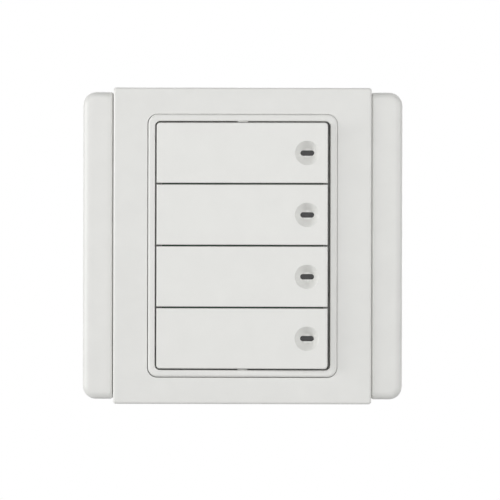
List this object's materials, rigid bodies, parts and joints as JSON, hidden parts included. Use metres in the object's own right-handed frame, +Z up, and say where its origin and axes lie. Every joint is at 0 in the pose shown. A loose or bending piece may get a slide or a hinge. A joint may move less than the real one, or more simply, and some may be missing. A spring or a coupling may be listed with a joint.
{
  "type": "four-gang light switch",
  "caption": "Wall light switch with stacked rocker keys, each with a round dish and a dark indicator lens at its right end, in a flat off-white surround with lower side wings.",
  "frame": {"origin": "midway between the two fixing slots, in the plane of the wall", "axes": "+Z up the wall, +X to the right as seen from the room, +Y into the wall; the front faces -Y"},
  "size_m": [0.087, 0.0339, 0.086],
  "materials": {
    "frame_plastic": "satin off-white",
    "surround_plastic": "satin off-white",
    "rocker_plastic": "satin off-white",
    "housing_plastic": "moulded off-white",
    "lens_plastic": "dark smoked",
    "dolly_plastic": "moulded grey-white",
    "plunger_plastic": "natural nylon",
    "spring_steel": "drawn wire",
    "copper_strip": "rolled copper alloy",
    "contact_silver": "silver alloy",
    "terminal_brass": "machined brass",
    "screw_steel": "zinc plated",
    "board_laminate": "green solder mask",
    "tinned_pin": "tinned",
    "led_resin": "clear resin on white",
    "resistor_body": "glazed black"
  },
  "bodies": {
    "base": {"mounting_frame": "frame_plastic", "surround": "surround_plastic", "rear_housing": "housing_plastic", "terminal_screws": "screw_steel", "housing_screws": "screw_steel", "indicator_board": "board_laminate", "board_pins": "tinned_pin", "fixed_contact_1": "contact_silver", "fixed_contact_2": "contact_silver", "fixed_contact_3": "contact_silver", "fixed_contact_4": "contact_silver", "common_terminal_1": "terminal_brass", "common_terminal_2": "terminal_brass", "common_terminal_3": "terminal_brass", "common_terminal_4": "terminal_brass", "load_terminal_1": "terminal_brass", "load_terminal_2": "terminal_brass", "load_terminal_3": "terminal_brass", "load_terminal_4": "terminal_brass", "indicator_led_1": "led_resin", "indicator_led_2": "led_resin", "indicator_led_3": "led_resin", "indicator_led_4": "led_resin", "led_resistor_1": "resistor_body", "led_resistor_2": "resistor_body", "led_resistor_3": "resistor_body", "led_resistor_4": "resistor_body"},
    "rocker_1": {"rocker_1": "rocker_plastic", "indicator_lens_1": "lens_plastic", "dolly_1": "dolly_plastic", "plunger_1": "plunger_plastic", "plunger_spring_1": "spring_steel"},
    "contact_1": {"contact_lever_1": "copper_strip", "moving_contact_1": "contact_silver"},
    "rocker_2": {"rocker_2": "rocker_plastic", "indicator_lens_2": "lens_plastic", "dolly_2": "dolly_plastic", "plunger_2": "plunger_plastic", "plunger_spring_2": "spring_steel"},
    "contact_2": {"contact_lever_2": "copper_strip", "moving_contact_2": "contact_silver"},
    "rocker_3": {"rocker_3": "rocker_plastic", "indicator_lens_3": "lens_plastic", "dolly_3": "dolly_plastic", "plunger_3": "plunger_plastic", "plunger_spring_3": "spring_steel"},
    "contact_3": {"contact_lever_3": "copper_strip", "moving_contact_3": "contact_silver"},
    "rocker_4": {"rocker_4": "rocker_plastic", "indicator_lens_4": "lens_plastic", "dolly_4": "dolly_plastic", "plunger_4": "plunger_plastic", "plunger_spring_4": "spring_steel"},
    "contact_4": {"contact_lever_4": "copper_strip", "moving_contact_4": "contact_silver"}
  },
  "joints": [
    {"name": "rocker_1_tilt", "type": "hinge", "parent": "base", "child": "rocker_1", "pos_m": [0, -0.0054, 0.02519], "axis": [0, 0, 1], "range_deg": [0, 5]},
    {"name": "contact_1_tilt", "type": "hinge", "parent": "base", "child": "contact_1", "pos_m": [0, 0.0113, 0.02519], "axis": [0, 0, 1], "range_deg": [-18, 0]},
    {"name": "rocker_2_tilt", "type": "hinge", "parent": "base", "child": "rocker_2", "pos_m": [0, -0.0054, 0.0084], "axis": [0, 0, 1], "range_deg": [0, 5]},
    {"name": "contact_2_tilt", "type": "hinge", "parent": "base", "child": "contact_2", "pos_m": [0, 0.0113, 0.0084], "axis": [0, 0, 1], "range_deg": [-18, 0]},
    {"name": "rocker_3_tilt", "type": "hinge", "parent": "base", "child": "rocker_3", "pos_m": [0, -0.0054, -0.0084], "axis": [0, 0, 1], "range_deg": [0, 5]},
    {"name": "contact_3_tilt", "type": "hinge", "parent": "base", "child": "contact_3", "pos_m": [0, 0.0113, -0.0084], "axis": [0, 0, 1], "range_deg": [-18, 0]},
    {"name": "rocker_4_tilt", "type": "hinge", "parent": "base", "child": "rocker_4", "pos_m": [0, -0.0054, -0.02519], "axis": [0, 0, 1], "range_deg": [0, 5]},
    {"name": "contact_4_tilt", "type": "hinge", "parent": "base", "child": "contact_4", "pos_m": [0, 0.0113, -0.02519], "axis": [0, 0, 1], "range_deg": [-18, 0]}
  ],
  "couplings": [
    {"joint": "contact_1_tilt", "follows": "rocker_1_tilt", "ratio": -3.6},
    {"joint": "contact_2_tilt", "follows": "rocker_2_tilt", "ratio": -3.6},
    {"joint": "contact_3_tilt", "follows": "rocker_3_tilt", "ratio": -3.6},
    {"joint": "contact_4_tilt", "follows": "rocker_4_tilt", "ratio": -3.6}
  ]
}
